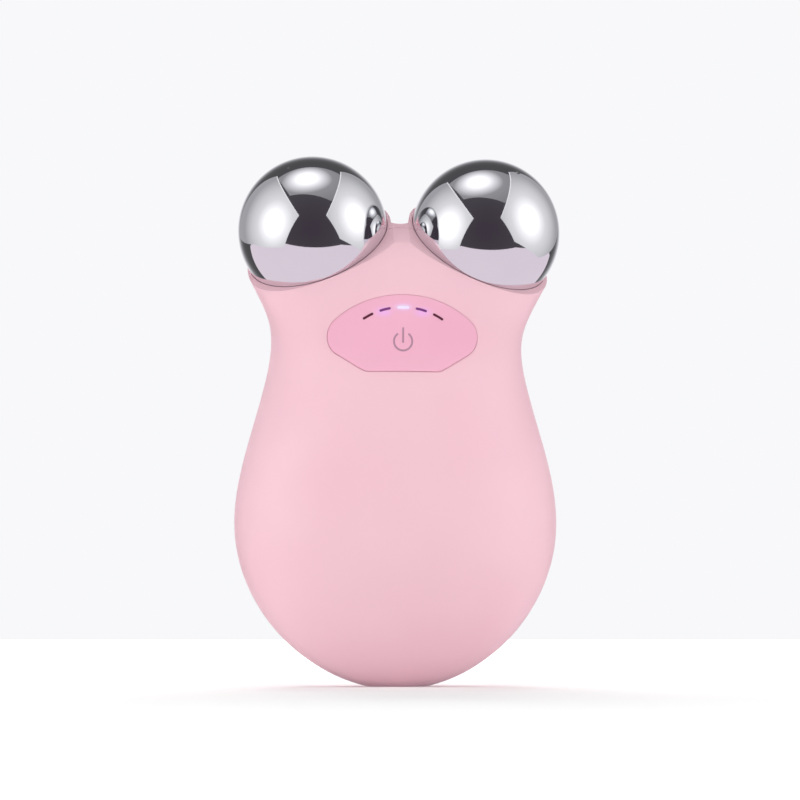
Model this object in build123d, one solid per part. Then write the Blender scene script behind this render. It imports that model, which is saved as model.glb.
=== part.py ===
from build123d import *
import os
from math import acos, asin, atan2, cos, pi, radians, sin, sqrt

# Facial toning device: a moulded two-shell body that stands on its small base,
# with two chromed balls on the head and a control key under them.
# Millimetres, +Z up, the front (key side) faces -Y, the mirror plane is X = 0.

# ---- body form -------------------------------------------------------------
WIDE_HEIGHT = 35.0          # height of the widest rib above the base
WIDE_HALF = 35.3            # half width there
WIDE_FRONT = 19.6           # reach to the front there
WIDE_BACK = 18.0            # reach to the back there
BASE_HALF = 6.5             # half width of the flat base
BOWL_POWER = 1.9            # how full the bowl is at its sides; 2 is a round bowl
BOWL_CROWDING = 0.9         # how much closer the bowl's ribs lie near the widest height
BASE_CENTRE = -1.2          # y of the widest line at the base
WAIST_HEIGHT = 78.0         # height of the narrow neck, measured at its sides
WAIST_HALF = 27.5
PANEL_FRONT = 18.7          # reach to the front under the key
NECK_BACK = 12.8            # reach to the back behind the balls
NECK_FLARE = 1.55           # how late the neck opens towards the ball rims
BODY_SHARE = 0.63           # widest line's place from front to back
NECK_SHARE = 0.62           # the same at the neck
NECK_FALL = 1.5             # how late the back draws in towards the neck
WALL = 2.0
BASE_POWER = 2.0            # squareness of the rib at the base; 2 is an ellipse
BODY_POWER = 2.3            # squareness of the widest rib
HEAD_POWER = 2.3            # squareness of the head's ribs towards the front
FAN_FRONT_DROP = 26.2       # front end of the fan's last rib, below the rims' mean height
FAN_BACK_DROP = 0.7         # its back end
FAN_RIBS = (                # climb at the front, climb at the back, squareness at the back
    (0, 0, BODY_POWER),
    (0.26, 0.15, 2.3),
    (0.5, 0.345, 2.35),
    (0.69, 0.555, 2.42),
    (0.85, 0.78, 2.6),
    (1, 1, 2.8),
)

# ---- balls and their sockets ----------------------------------------------
BALL_RADIUS = 16.2
BALL_SPREAD = 18.8          # ball centre to the mirror plane
BALL_FRONT = -8.0           # y of the ball centres
BALL_HEIGHT = 97.9
BALL_TILT = 44.6            # ball axis, degrees forward from upright
BALL_SPLAY = 30.2           # ball axis, degrees outward seen from above
RIM_DROP = 3.4              # rim plane behind the ball centre
SOCKET_GAP = 0.15
LIP = 0.45                  # width of the lip round each ball
CUP_WALL = 1.6
CUP_CLEAR = 0.15            # between a cup and the key's retainer
SADDLE_HEIGHT = 6.0         # top of the loft above the mean rim plane
HEAD_RIBS = (               # height above the rims, reach past the lips at front and back,
    (-6.0, 6.5, 0.6, 0.57, 3.0),        # place of the widest line, squareness at the back
    (-0.3, 1.6, 1.5, 0.5, 3.0),
    (3.0, -1.6, 1.5, 0.47, 3.2),
    (SADDLE_HEIGHT, -7.0, 1.0, 0.4, 3.4),
)
VALLEY_FLOOR = 99.2         # height of the valley's floor at the ball centres
VALLEY_FALL = 2.0           # how fast the floor falls to the back, degrees
VALLEY_HALF = 16.0          # from the floor's middle to the crest on each side
VALLEY_DEPTH = 10.0         # crest above the floor
WAVE_STEPS = 4              # points on each half of the valley's profile
CUP_RIM = 0.7               # wall of a cup where the valley lays it bare
DOME_WALL = 1.2
DOME_DEPTH = 9.0            # open edge of the dome behind the ball centre
BASE_WALL = 2.0
SPIGOT_LENGTH = 2.0
SPIGOT_WALL = 1.5
STUD_RADIUS = 2.5
STUD_END = 1.0              # stud beyond the nut
STUD_CLEAR = 0.2
PAD_RADIUS = 6.5
PAD_STEP = 0.35             # how far the flat behind a cup stands off it
SEAL_RADIUS = 0.6
SEAL_DEPTH = 8.2
TERMINAL_THICK = 0.5
TERMINAL_RADIUS = 4.4
TERMINAL_REACH = 8.5
TERMINAL_HALF = 1.5
TERMINAL_CORNER = 0.8
NUT_THICK = 2.4
NUT_FLATS = 8.0

# ---- control key -----------------------------------------------------------
KEY_TOP = 82.3
KEY_BOTTOM = 65.9
KEY_HALF = 16.0
KEY_SHOULDER = 75.4         # where the top arc meets the sides
KEY_HIP = 70.9              # where the sides turn into the slanted edges
KEY_FOOT_HALF = 8.0         # half of the straight lower edge
KEY_CORNER = 4.4            # at the shoulders and hips
KEY_FOOT_CORNER = 2.5
KEY_GAP = 0.15
KEY_PROUD = 0.3
KEY_PLATE = 1.8
KEY_SKIRT = 1.0
KEY_FLANGE = 1.2            # how far the flange reaches behind the shell
FLANGE_THICK = 0.8
FLANGE_GAP = 0.1
KEY_POST = 1.5
KEY_TRAVEL = 0.4
STOP_GAP = 0.2
RETAINER_REACH = 3.2
RETAINER_THICK = 0.6
RETAINER_CLEAR = 0.3        # round the flange
KEY_CENTRE = 72.3           # height of the switch behind the key

# ---- row of lights ---------------------------------------------------------
LIGHT_COUNT = 5
LIGHT_ARC = 15.2            # radius of the arc that the lights lie on
LIGHT_TOP = 79.5            # height of the middle light
LIGHT_STEP = 14.6           # degrees between lights
LIGHT_LENGTH = 7.4          # degrees that one light spans, less its round ends
LIGHT_WIDTH = 0.55
LIGHT_FIT = 0.03
GUIDE_THICK = 0.8
GUIDE_HALF = 1.25
GUIDE_SPAN = 72.0
BAFFLE_HALF = 2.0
BAFFLE_SPAN = 80.0
BAFFLE_FRONT = -15.3
WELL_HALF = 0.95
WELL_SPARE = 4.0            # degrees that a well is longer than its light
LED_LONG = 2.0
LED_SHORT = 1.2
LED_TALL = 0.8

# ---- boards and what is on them -------------------------------------------
BOARD_FACE = -11.5          # y of the main board's front face
BOARD_THICK = 1.2
BOARD_HALF = 16.5
BOARD_LOW = 44.0
BOARD_HIGH = 77.0
BOARD_CORNER = 2.0
CROWN_RIM = 0.2             # board round the foot of the light frame
CROWN_NECK = 18.0           # width of the board between its top edge and the crown
BOSS_X = 13.2
BOSS_LOW = 48.0
BOSS_HIGH = 61.0
BOSS_RADIUS = 2.6
SCREW_RADIUS = 1.0
SCREW_HEAD = 1.9
SCREW_HOLE = 4.5
SCREW_CLEAR = 0.15
SCREW_HEAD_TALL = 1.35
SCREW_SLOT = (2.6, 0.5, 0.5)    # length, width, depth
SCREW_REACH = 4.0
SWITCH_SIDE = 6.0
SWITCH_TALL = 3.1
SWITCH_CORNER = 0.6
SPARE_TRAVEL = 0.2          # of the plunger, past the key's travel
PLUNGER_CLEAR = 0.1
PLUNGER_RADIUS = 1.6
PLUNGER_OUT = 0.9
PLUNGER_IN = 0.6
PRESS_GAP = 0.05
CHIP = (7.0, 7.6, 1.2)
CHIP_SPOT = (-6.5, 57.0)
CHIP_LEG = (1.4, 0.4, 0.25)
CHIP_LEGS = 7               # on each side
CHIP_PITCH = 1.0
COIL_RADIUS = 3.6
COIL_CORE = 2.7
COIL_FLANGE = 0.8
COIL_TALL = 4.0
COIL_SPOT = (7.5, 56.0)
BUZZER_RADIUS = 4.5
BUZZER_TALL = 3.2
BUZZER_HOLE = 0.9
BUZZER_RECESS = 0.6
BUZZER_SPOT = (0.0, 70.5)
CAN_RADIUS = 1.7
CAN_TALL = 2.8
CAN_SPOTS = ((-13.2, 52.4), (-13.2, 56.4), (1.6, 62.5), (13.3, 56.0))
BATTERY_SOCKET = (7.0, 4.0, 4.0)
WAY = (1.4, 2.2)            # opening of each way of the battery's socket
WAY_FLOOR = 2.0
PORT_CENTRE = -2.0
PORT_HALF = 4.5
PORT_TALL = 3.2
PORT_LENGTH = 7.4
PORT_CLEAR = 0.2
PORT_SINK = 0.7             # mouth of the socket above the base
PORT_SHELL = 0.35
PORT_BACK = 1.2             # thickness of the socket's closed end
TONGUE = (6.6, 0.7)
TONGUE_SINK = 0.8
CHARGE_HALF = 9.0
CHARGE_LOW = 3.8
CHARGE_HIGH = 20.0
CHARGE_THICK = 1.0
CHARGE_CORNER = 1.0
REST_INNER = 6.0            # rests that hold the charge board, from the mirror plane
REST_OUTER = 8.5
REST_LOW = 11.5
REST_HIGH = 17.0

# ---- battery ---------------------------------------------------------------
CELL_HALF = 15.0
CELL_THICK = 7.5
CELL_LOW = 17.0
CELL_HIGH = 55.0
CELL_FRONT = 1.6
CELL_CORNER = 2.0
PAD_THICK = 1.0
PAD_MARGIN = 3.0
CRADLE_WALL = 1.4
CRADLE_GAP = 0.3
CRADLE_RIBS = (22.0, 36.0, 50.0)

# ---- joining ---------------------------------------------------------------
SEAM_GAP = 0.16
SEAM_AHEAD = 2.5            # seam in front of the widest line
SEAM_BENDS = ((1.0, 0.22), (0.0, 0.52), (1.4, 0.82), (3.4, 1.0))   # step ahead, share of
                            # the neck's height
SEAM_CUP = (4.0, 1.5)       # at the cups: behind the ball centres, below the rims' sides
SEAM_SADDLE = 3.0           # where it crosses the saddle, ahead of the rims' middle
SEAM_ENDS = 8.5             # how far the line runs on past the form
SEAL_BAND = 1.3
SEAL_THICK = 0.8
FIT_GAP = 0.05
PIN_RADIUS = 1.5
PIN_BOSS = 3.2
PIN_X = 24.0
PIN_LOW = 24.0
PIN_HIGH = 52.0
PIN_FIT = 0.05
PIN_ROOT = 6.0              # how far a pin reaches into its own shell
PIN_REACH = 4.0             # how far it stands out of it
PIN_HOLE = 4.6
LEAD_RADIUS = 0.55
LEAD_HEIGHT = 70.0          # where the electrode leads meet the main board
LEAD_BEND = 1.5
SOLDER = 0.6                # from the end of a terminal's tab to its lead
TAB_RUN = 4.5               # how far the lead runs on along the tab
LEAD_SLANT = 0.3
SOCKET_HEIGHT = 51.0        # height of the battery's socket on the main board
LEAD_SPACING = 3.0
CELL_LEAD_RISE = 6.0        # how far the battery's leads climb above the cell
CELL_LEAD_LINE = -1.5       # y of their drop to the socket
CELL_LEAD_BEND = 2.5
CHARGE_LEAD_X = 5.0
CHARGE_LEAD_LOW = 17.5      # height of the joint on the charge board
CHARGE_LEAD_END = 46.5      # height of the joint on the main board
CHARGE_LEAD_RISE = (28.0, 40.0)     # heights between which the lead crosses to the main board
CHARGE_LEAD_OFF = (2.8, 2.5)        # distance from the charge board and from the main board
CHARGE_LEAD_BENDS = (1.2, 3.5, 3.0, 1.2)

RIB_STEPS = 9               # points on a quarter of a rib
RIB_CROWDING = 1.35         # how much closer the points lie near a rib's middle
BOWL_RIBS = 6               # ribs from the base to under the widest height
FAR = 200.0                 # past every surface of the part
OVER = 1.0                  # how far a cut or a foot runs into what it meets
ALIGN_LOW = (Align.CENTER, Align.CENTER, Align.MIN)

# ---- ball frame, worked out ------------------------------------------------
tilt, splay = radians(BALL_TILT), radians(BALL_SPLAY)
AXIS = Vector(sin(tilt) * sin(splay), -sin(tilt) * cos(splay), cos(tilt))
BALL = Vector(BALL_SPREAD, BALL_FRONT, BALL_HEIGHT)
RIM = BALL - AXIS * RIM_DROP
LIP_RADIUS = sqrt(BALL_RADIUS**2 - RIM_DROP**2) + SOCKET_GAP + LIP
MEAN_TILT = atan2(-AXIS.Y, AXIS.Z)
ALONG = Vector(0, cos(MEAN_TILT), sin(MEAN_TILT))        # up and back, in both rim planes
AWAY = Vector(0, -sin(MEAN_TILT), cos(MEAN_TILT))        # out of the saddle
SIDE_LEAN = asin(AXIS.X)
RIM_SIDE = RIM.X + LIP_RADIUS * cos(SIDE_LEAN)           # half width at the rims
RIM_SIDE_HEIGHT = RIM.Z - LIP_RADIUS * sin(SIDE_LEAN) * AWAY.Z
HEAD = Vector(0, RIM.Y, RIM.Z)
CAVITY = BALL_RADIUS + SOCKET_GAP
CUP = CAVITY + CUP_WALL
PAD_DEPTH = CUP + PAD_STEP  # flat behind each cup that the terminal sits on
STAND_SHIFT = (BALL_RADIUS - BALL_FRONT - WIDE_BACK) / 2   # puts the origin mid-depth


def half_width(height):
    """Half width of the body where a rib's widest points lie at this height."""
    if height < WAIST_HEIGHT:
        turn = cos(pi * max(height - WIDE_HEIGHT, 0) / (WAIST_HEIGHT - WIDE_HEIGHT))
        return WAIST_HALF + (WIDE_HALF - WAIST_HALF) * (1 + turn) / 2
    rise = (height - WAIST_HEIGHT) / (RIM_SIDE_HEIGHT - WAIST_HEIGHT)
    return WAIST_HALF + (RIM_SIDE - WAIST_HALF) * rise**NECK_FLARE


def rib(front, back, share, powers, inset, half=None):
    """Closed curve in the plane through a front and a back point, parallel to X.

    The widest points lie at share of the way back. The powers are the squareness of the
    front part and of the back part.
    """
    span = back - front
    middle = front + span * share
    wide = (half_width(middle.Z) if half is None else half) - inset
    reach_front = span.length * share - inset
    reach_back = span.length * (1 - share) - inset
    steps = [sin(pi / 2 * i / RIB_STEPS) ** RIB_CROWDING for i in range(RIB_STEPS + 1)]
    before, behind = powers
    trail = [(s, reach_back * (1 - s**behind) ** (1 / behind)) for s in steps]
    trail += [(s, -reach_front * (1 - s**before) ** (1 / before)) for s in reversed(steps[:-1])]
    trail += [(-s, d) for s, d in reversed(trail[1:-1])]
    along = span.normalized()
    points = [middle + along * d + Vector(s * wide, 0, 0) for s, d in trail]
    return Wire([Edge.make_spline(points, periodic=True)])


def base_ribs(inset):
    """Ribs of the bowl from the flat base up to just under the widest rib."""
    level = (1 - (BASE_HALF / WIDE_HALF) ** BOWL_POWER) ** (1 / BOWL_POWER)
    start = acos(level)
    depth = WIDE_HEIGHT / level
    for step in range(BOWL_RIBS):
        angle = start + (pi / 2 - start) * (step / BOWL_RIBS) ** BOWL_CROWDING
        grown = sin(angle)
        wide = (1 - cos(angle) ** BOWL_POWER) ** (1 / BOWL_POWER)
        z = WIDE_HEIGHT - (depth - inset) * cos(angle)
        rise = max(z, 0) / WIDE_HEIGHT
        centre = BASE_CENTRE + (widest_line() - BASE_CENTRE) * (2 - rise) * rise
        front = Vector(0, centre - (widest_line() + WIDE_FRONT - inset) * grown, z)
        back = Vector(0, centre + (WIDE_BACK - widest_line() - inset) * grown, z)
        power = BASE_POWER + (BODY_POWER - BASE_POWER) * grown
        yield rib(front, back, BODY_SHARE, (power, power), 0, (WIDE_HALF - inset) * wide)


def widest_line():
    """y of the widest points of the widest rib."""
    return (WIDE_FRONT + WIDE_BACK) * BODY_SHARE - WIDE_FRONT


def head_point(along, away):
    return HEAD + ALONG * along + AWAY * away


def fan_ribs(inset):
    """Ribs that lean from level at the widest height to the slope of the rims."""
    front_climb = RIM.Z - FAN_FRONT_DROP - WIDE_HEIGHT
    back_climb = RIM.Z - FAN_BACK_DROP - WIDE_HEIGHT
    for front_rise, back_rise, power in FAN_RIBS:
        blend = front_rise * front_rise * (3 - 2 * front_rise)
        front = Vector(0, -(WIDE_FRONT + (PANEL_FRONT - WIDE_FRONT) * blend),
                       WIDE_HEIGHT + front_climb * front_rise)
        back = Vector(0, WIDE_BACK + (NECK_BACK - WIDE_BACK) * back_rise**NECK_FALL,
                      WIDE_HEIGHT + back_climb * back_rise)
        share = BODY_SHARE + (NECK_SHARE - BODY_SHARE) * back_rise
        yield rib(front, back, share, (min(power, HEAD_POWER), power), inset)


def head_ribs(inset):
    """Ribs parallel to the rims, up to the flat top of the saddle."""
    for away, front, back, share, power in HEAD_RIBS:
        level = away - inset * (away - HEAD_RIBS[0][0]) / (2 * SADDLE_HEIGHT)
        front_end = head_point(-LIP_RADIUS - front, level)
        back_end = head_point(LIP_RADIUS + back, level)
        yield rib(front_end, back_end, share, (HEAD_POWER, power), inset)


def blob(inset):
    """The whole outer form, shrunk by inset."""
    ribs = list(base_ribs(inset)) + list(fan_ribs(inset)) + list(head_ribs(inset))
    return Part() + Solid.make_loft(ribs)


def left(shape):
    """The mirror image of a shape on the right."""
    return shape.mirror(Plane.YZ)


def both(shape):
    return shape + left(shape)


def ball_frame(depth=0.0):
    """Plane square to the right ball's axis, depth behind its centre, z outwards."""
    return Plane(origin=BALL - AXIS * depth, x_dir=ALONG, z_dir=AXIS)


def beyond_rims(inset=0.0):
    """Everything in front of the two rim planes, each on its own side."""
    slab = ball_frame(RIM_DROP + inset) * Box(FAR, FAR, FAR / 2, align=ALIGN_LOW)
    right = Pos(FAR / 2, 0, RIM.Z) * Box(FAR, FAR, FAR)
    return both(slab & right)


def at_ball(depth, shape):
    """A shape built on +Z, turned onto the right ball's axis."""
    return ball_frame(depth) * shape


def prism(sketch, near, far):
    """Extrude an XZ sketch between two y values."""
    return Pos(0, near, 0) * extrude(Plane.XZ * sketch, amount=near - far)


def block(x_low, x_high, y_low, y_high, z_low, z_high):
    size = (x_high - x_low, y_high - y_low, z_high - z_low)
    middle = ((x_low + x_high) / 2, (y_low + y_high) / 2, (z_low + z_high) / 2)
    return Pos(*middle) * Box(*size)


def rod(x, z, radius, y_low, y_high):
    """Round bar along Y."""
    centre = (x, (y_low + y_high) / 2, z)
    return Pos(*centre) * Rot(90, 0, 0) * Cylinder(radius, y_high - y_low)


def seam_line(shift):
    """Side view of the seam between the shells, from below the base to above the saddle."""
    ahead = widest_line() - SEAM_AHEAD
    saddle = head_point(-SEAM_SADDLE, SADDLE_HEIGHT)
    line = [(PORT_CENTRE, -SEAM_ENDS), (PORT_CENTRE, 0)]
    line += [(ahead - step, WAIST_HEIGHT * share) for step, share in SEAM_BENDS]
    line += [(BALL_FRONT + SEAM_CUP[0], RIM_SIDE_HEIGHT - SEAM_CUP[1]), (saddle.Y, saddle.Z),
             (saddle.Y - SEAM_ENDS, saddle.Z + SEAM_ENDS)]
    return [Vector(0, y + shift, z) for y, z in line]


def ahead_of_seam(shift):
    """Solid that fills everything in front of the seam, moved back by shift."""
    line = seam_line(shift)
    low, high = line[0], line[-1]
    frame = [low, Vector(0, -FAR / 2, low.Z), Vector(0, -FAR / 2, high.Z), high]
    sides = [Edge.make_line(a, b) for a, b in zip(frame, frame[1:])]
    face = Face(Wire([Edge.make_spline(line)] + sides))
    return Pos(-FAR / 2, 0, 0) * extrude(face, amount=FAR, dir=(1, 0, 0))


def key_outline(grow=0.0):
    """Sketch of the key in X and Z: arched top, blunt sides, slanted to a flat foot."""
    arch = ThreePointArc((-KEY_HALF, KEY_SHOULDER), (0, KEY_TOP), (KEY_HALF, KEY_SHOULDER))
    rest = Polyline((KEY_HALF, KEY_SHOULDER), (KEY_HALF, KEY_HIP), (KEY_FOOT_HALF, KEY_BOTTOM),
                    (-KEY_FOOT_HALF, KEY_BOTTOM), (-KEY_HALF, KEY_HIP),
                    (-KEY_HALF, KEY_SHOULDER))
    face = make_face(arch + rest)
    between = (KEY_HALF + KEY_FOOT_HALF) / 2
    face = fillet([c for c in face.vertices() if abs(c.X) < between], KEY_FOOT_CORNER)
    face = fillet([c for c in face.vertices() if abs(c.X) > between], KEY_CORNER)
    return offset(face, grow) if grow else face


def key_prism(grow):
    return prism(key_outline(grow), -FAR / 4, 0)


def on_arc(angle, shift=0.0):
    """Point (x, z) on the arc of lights, at degrees from upright."""
    reach = LIGHT_ARC + shift
    turn = radians(angle)
    return (reach * sin(turn), LIGHT_TOP - LIGHT_ARC + reach * cos(turn))


def arc_slot(angle, half, span):
    """Round-ended slot along the arc of lights, its middle at an angle."""
    ends = [Pos(*on_arc(angle + side * span / 2)) * Circle(half) for side in (-1, 1)]
    band = make_face(
        ThreePointArc(*(on_arc(angle + span * k / 2, half) for k in (-1, 0, 1)))
        + Line(on_arc(angle + span / 2, half), on_arc(angle + span / 2, -half))
        + ThreePointArc(*(on_arc(angle - span * k / 2, -half) for k in (-1, 0, 1)))
        + Line(on_arc(angle - span / 2, -half), on_arc(angle - span / 2, half)))
    return band + ends[0] + ends[1]


def light_angles():
    first = -LIGHT_STEP * (LIGHT_COUNT - 1) / 2
    return [first + LIGHT_STEP * i for i in range(LIGHT_COUNT)]


def light_slots(half, span):
    slots = [arc_slot(angle, half, span) for angle in light_angles()]
    return Sketch() + slots


def valley(grow=0.0):
    """What lies above the soft dip between the cups: a wave profile run front to back."""
    steps = [i / WAVE_STEPS for i in range(-WAVE_STEPS, WAVE_STEPS + 1)]
    wave = [(VALLEY_HALF * t, VALLEY_FLOOR - grow + VALLEY_DEPTH * (1 - cos(pi * t)) / 2)
            for t in steps]
    crest = VALLEY_FLOOR - grow + VALLEY_DEPTH
    top = [(VALLEY_HALF, crest), (FAR / 4, crest), (FAR / 4, FAR), (-FAR / 4, FAR),
           (-FAR / 4, crest), (-VALLEY_HALF, crest)]
    profile = make_face(Spline(*wave, tangents=[(1, 0), (1, 0)]) + Polyline(*top))
    trough = prism(profile, -FAR / 4, FAR / 4)
    hinge = Pos(0, BALL_FRONT, VALLEY_FLOOR)
    trough = hinge * Rot(-VALLEY_FALL, 0, 0) * hinge.inverse() * trough
    return trough - both(Pos(*BALL) * Sphere(CAVITY + CUP_RIM - grow))


def tube(points, radii, x=0.0):
    """Lead in a plane of constant x: straight runs joined by arcs, (y, z) points."""
    path = FilletPolyline(*[(x, y, z) for y, z in points], radius=radii)
    start = path @ 0
    section = Plane(origin=start, z_dir=path % 0) * Circle(LEAD_RADIUS)
    return sweep(section, path=path)


# ---- shared forms ----------------------------------------------------------
forms = {}


def form(inset):
    """The outer form shrunk by inset, made once."""
    if inset not in forms:
        forms[inset] = blob(inset)
    return forms[inset]


def layer(near, far):
    """Skin of the body between two depths below its surface."""
    return form(near) - form(far)


def cups(grow=0.0):
    return both(Pos(*BALL) * Sphere(CUP + grow))


def hollow():
    return form(WALL) - beyond_rims(WALL) - cups() - valley(WALL)


def rests():
    """Blocks on both shells that hold the charge board between them."""
    board_back = charge_face() + CHARGE_THICK + FIT_GAP
    board_front = charge_face() - FIT_GAP
    behind = block(REST_INNER, REST_OUTER, board_back, FAR / 4, REST_LOW, REST_HIGH)
    before = block(REST_INNER, REST_OUTER, -FAR / 4, board_front, REST_LOW, REST_HIGH)
    return [behind, before, left(behind), left(before)]


def charge_face():
    return PORT_CENTRE + PORT_TALL / 2


def boss_spots():
    return [(side * BOSS_X, z) for side in (-1, 1) for z in (BOSS_LOW, BOSS_HIGH)]


def pin_spots():
    return [(side * PIN_X, z) for side in (-1, 1) for z in (PIN_LOW, PIN_HIGH)]


def cradle():
    """Ribs in the back shell that the battery and its pad lie on."""
    back = CELL_FRONT + CELL_THICK + PAD_THICK + FIT_GAP
    side = CELL_HALF + CRADLE_GAP
    front = CELL_FRONT + CELL_THICK / 2
    wall = block(side, side + CRADLE_WALL, front, FAR / 4, CRADLE_RIBS[0],
                 CRADLE_RIBS[-1] + CRADLE_WALL)
    ribs = [block(-side, side, back, FAR / 4, z, z + CRADLE_WALL) for z in CRADLE_RIBS]
    return Part() + ribs + [wall, left(wall)]


def inner_features():
    """What stands inside the shells: screw bosses, pin bosses, rests, cradle and pads."""
    posts = [rod(x, z, BOSS_RADIUS, -FAR / 4, BOARD_FACE) for x, z in boss_spots()]
    posts += [rod(x, z, PIN_BOSS, -FAR / 4, FAR / 4) for x, z in pin_spots()]
    pad = at_ball(PAD_DEPTH, Cylinder(PAD_RADIUS, PAD_DEPTH - CAVITY, align=ALIGN_LOW))
    return posts + rests() + [cradle(), pad, left(pad)]


def socket():
    """What the right ball takes out of the shells: its seat, the seal's groove, the stud hole."""
    groove = Pos(0, 0, -SEAL_DEPTH) * Torus(seal_ring_radius(), SEAL_RADIUS + FIT_GAP)
    stud = Pos(0, 0, -PAD_DEPTH - OVER) * Cylinder(STUD_RADIUS + STUD_CLEAR, CAVITY, align=ALIGN_LOW)
    return at_ball(0, Sphere(CAVITY) + groove + stud)


def shell_openings():
    """What is cut out of both shells: sockets, screw holes, key and port."""
    cuts = [socket(), left(socket())]
    cuts += [rod(x, z, SCREW_RADIUS + FIT_GAP, BOARD_FACE - SCREW_HOLE, 0)
             for x, z in boss_spots()]
    port = SlotOverall(2 * (PORT_HALF + PORT_CLEAR), PORT_TALL + 2 * PORT_CLEAR)
    cuts.append(Pos(0, PORT_CENTRE, -OVER) * extrude(port, amount=CHARGE_LOW + OVER))
    cuts.append(prism(key_outline(), -FAR / 4, BOARD_FACE))
    return cuts


def shell_walls():
    """Both shells in one: outer form less the room inside and the openings."""
    room = hollow() - inner_features()
    return form(0) - beyond_rims() - valley() - room - shell_openings()


def seal_ring_radius():
    spot = BALL_RADIUS + FIT_GAP + SEAL_RADIUS
    return sqrt(spot**2 - SEAL_DEPTH**2)


def pin_seam():
    """y of the seam at the pins."""
    return widest_line() - SEAM_AHEAD


def front_shell(walls):
    shell = walls & ahead_of_seam(-SEAM_GAP / 2)
    tip = pin_seam() + PIN_REACH
    return shell + [rod(x, z, PIN_RADIUS, pin_seam() - PIN_ROOT, tip) for x, z in pin_spots()]


def back_shell(walls):
    shell = walls - ahead_of_seam(SEAM_GAP / 2)
    depth = pin_seam() + PIN_HOLE
    return shell - [rod(x, z, PIN_RADIUS + PIN_FIT, pin_seam() - PIN_REACH, depth)
                    for x, z in pin_spots()]


# ---- electrodes ------------------------------------------------------------
def below(depth):
    """Half space behind a depth, in a ball's own frame."""
    return Pos(0, 0, -depth) * Box(FAR, FAR, FAR, align=(Align.CENTER, Align.CENTER, Align.MAX))


def dome():
    skin = Sphere(BALL_RADIUS) - Sphere(BALL_RADIUS - DOME_WALL)
    return at_ball(0, skin - below(DOME_DEPTH))


def dome_base():
    """Cap that closes the dome, with a spigot inside it and a stud behind."""
    edge = DOME_DEPTH + FIT_GAP
    cap = (Sphere(BALL_RADIUS) - Sphere(BALL_RADIUS - BASE_WALL)) & below(edge)
    opening = sqrt((BALL_RADIUS - DOME_WALL) ** 2 - DOME_DEPTH**2) - FIT_GAP
    spigot = Cylinder(opening, SPIGOT_LENGTH + OVER) - Cylinder(opening - SPIGOT_WALL, FAR)
    cap += Pos(0, 0, -edge + (SPIGOT_LENGTH - OVER) / 2) * spigot
    inner_end = BALL_RADIUS - BASE_WALL / 2
    outer_end = nut_depth() + NUT_THICK + STUD_END
    cap += Pos(0, 0, -outer_end) * Cylinder(STUD_RADIUS, outer_end - inner_end, align=ALIGN_LOW)
    return at_ball(0, cap)


def terminal_depth():
    return PAD_DEPTH + FIT_GAP + TERMINAL_THICK


def nut_depth():
    return terminal_depth() + FIT_GAP


def terminal():
    ring = Circle(TERMINAL_RADIUS)
    tab = Pos(-TERMINAL_REACH / 2, 0) * RectangleRounded(TERMINAL_REACH, 2 * TERMINAL_HALF,
                                                    TERMINAL_CORNER)
    hole = Circle(STUD_RADIUS + FIT_GAP)
    return at_ball(terminal_depth(), extrude(ring + tab - hole, amount=TERMINAL_THICK))


def stud_nut():
    hexagon = RegularPolygon(NUT_FLATS / 2, 6, major_radius=False)
    profile = hexagon - Circle(STUD_RADIUS + FIT_GAP)
    return at_ball(nut_depth() + NUT_THICK, extrude(profile, amount=NUT_THICK))


def electrode_seal():
    return at_ball(SEAL_DEPTH, Torus(seal_ring_radius(), SEAL_RADIUS))


def electrode_lead():
    """Lead from the tab of the terminal down to the back of the main board."""
    start = ball_frame(terminal_depth() + LEAD_RADIUS + FIT_GAP)
    spot = start.origin - ALONG * (TERMINAL_REACH - SOLDER)
    run = spot - ALONG * TAB_RUN
    points = [(spot.Y, spot.Z), (run.Y, run.Z), (run.Y - LEAD_SLANT, LEAD_HEIGHT),
              (board_back() + FIT_GAP, LEAD_HEIGHT)]
    return tube(points, [LEAD_BEND, LEAD_BEND], spot.X)


# ---- key -------------------------------------------------------------------
def flange_depth():
    return WALL + FLANGE_GAP


def plunger_tip():
    return BOARD_FACE - SWITCH_TALL - PLUNGER_OUT


def control_key():
    """Plate with a slot for each light, a skirt, a flange and a post for the switch."""
    blank = key_prism(KEY_FLANGE) & layer(-KEY_PROUD, flange_depth() + FLANGE_THICK)
    ring = key_prism(KEY_FLANGE + OVER) - key_prism(-KEY_GAP) - form(flange_depth())
    underside = KEY_PLATE - KEY_PROUD
    key = blank - ring - (key_prism(-KEY_GAP - KEY_SKIRT) & form(underside))
    post = rod(0, KEY_CENTRE, KEY_POST, -FAR / 4, plunger_tip() - PRESS_GAP)
    key += post & form(underside / 2)
    return key - prism(light_slots(LIGHT_WIDTH / 2, LIGHT_LENGTH), -FAR / 4, 0)


def light_guide():
    """Clear moulding behind the key: a bar in each of its slots, on one web."""
    underside = KEY_PLATE - KEY_PROUD + LIGHT_FIT
    bars = prism(light_slots(LIGHT_WIDTH / 2 - LIGHT_FIT, LIGHT_LENGTH), -FAR / 4, 0)
    web = prism(arc_slot(0, GUIDE_HALF, GUIDE_SPAN), -FAR / 4, 0)
    face = LIGHT_FIT - KEY_PROUD
    return (bars & layer(face, underside + GUIDE_THICK / 2)) + (
        web & layer(underside, underside + GUIDE_THICK))


def key_retainer():
    """Frame behind the key's flange that keeps it from falling in."""
    stop = flange_depth() + FLANGE_THICK + KEY_TRAVEL + STOP_GAP
    frame = key_prism(RETAINER_REACH) - key_prism(-KEY_GAP)
    frame = frame & layer(WALL + FIT_GAP, stop + RETAINER_THICK)
    frame -= key_prism(KEY_FLANGE + RETAINER_CLEAR) - form(stop)
    return frame - cups(CUP_CLEAR)


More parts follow.
